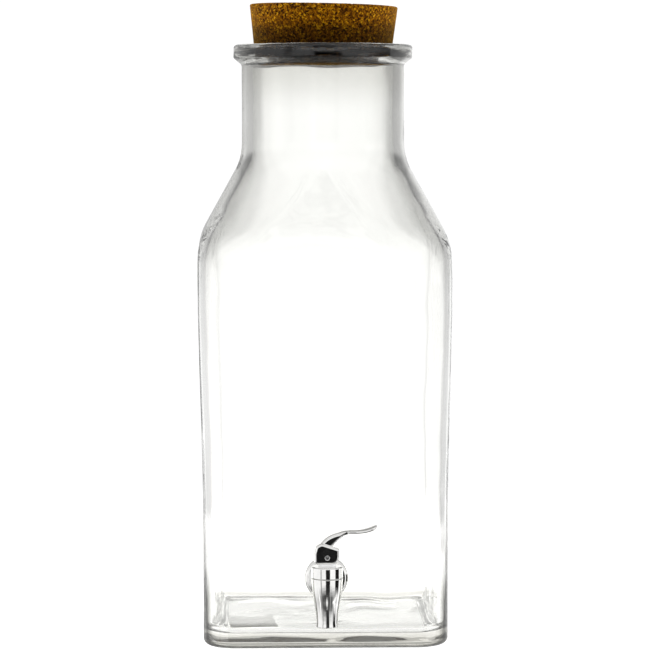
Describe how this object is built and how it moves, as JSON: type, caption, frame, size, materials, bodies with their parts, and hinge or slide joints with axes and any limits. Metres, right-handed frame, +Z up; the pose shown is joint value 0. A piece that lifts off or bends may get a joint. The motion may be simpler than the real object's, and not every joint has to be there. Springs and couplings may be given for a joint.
{
  "type": "beverage dispenser",
  "caption": "Square clear glass bottle dispenser with rounded edges, thick rim, tapered cork stopper and a small sprung chrome lever tap low on the front.",
  "frame": {"origin": "on the bottle's vertical axis, at the plane it stands on", "axes": "+Z up; -Y is the front, where the tap is; +X is to the right of someone facing the tap"},
  "size_m": [0.1864, 0.2211, 0.4696],
  "materials": {
    "clear_glass": "clear, smooth, faintly wavy",
    "agglomerated_cork": "agglomerated cork granules, unsealed",
    "pale_paper": "plain matt label",
    "chrome_casting": "polished chrome plate on cast metal",
    "steel": "stainless steel, as turned or stamped",
    "white_plastic": "moulded white plastic",
    "silicone": "translucent food-grade silicone"
  },
  "bodies": {
    "root": {"glass_jar": "clear_glass", "base_label": "pale_paper", "spigot_body": "chrome_casting", "outer_washer": "silicone", "inner_washer": "silicone", "slip_washer": "steel", "mounting_nut": "steel", "bonnet": "chrome_casting", "bonnet_gasket": "silicone", "spring_washer": "steel", "stem_o_ring": "silicone"},
    "cork": {"cork_stopper": "agglomerated_cork"},
    "swivel": {"thrust_washer": "white_plastic"},
    "stem": {"valve_stem": "steel", "seat_cup": "silicone", "lever_pin": "steel", "stem_spring": "steel"},
    "handle": {"lever": "chrome_casting"}
  },
  "joints": [
    {"name": "cork_lift", "type": "slide", "parent": "root", "child": "cork", "axis": [0, 0, 1], "range_m": [0, 0.075]},
    {"name": "lever_swivel", "type": "hinge", "parent": "root", "child": "swivel", "pos_m": [0, -0.1166, 0.0671], "axis": [0, 0, 1], "range_deg": [-200, 20]},
    {"name": "stem_lift", "type": "slide", "parent": "swivel", "child": "stem", "axis": [0, 0, 1], "range_m": [0, 0.0027], "deforming": ["stem_spring"]},
    {"name": "lever_tilt", "type": "hinge", "parent": "stem", "child": "handle", "pos_m": [0, -0.1166, 0.0721], "axis": [0, 1, 0], "range_deg": [0, 40], "stiffness_Nm_per_rad": 0.25, "springref_deg": -20.05}
  ],
  "couplings": [
    {"joint": "stem_lift", "follows": "lever_tilt", "m_per_rad": 0.0037}
  ]
}
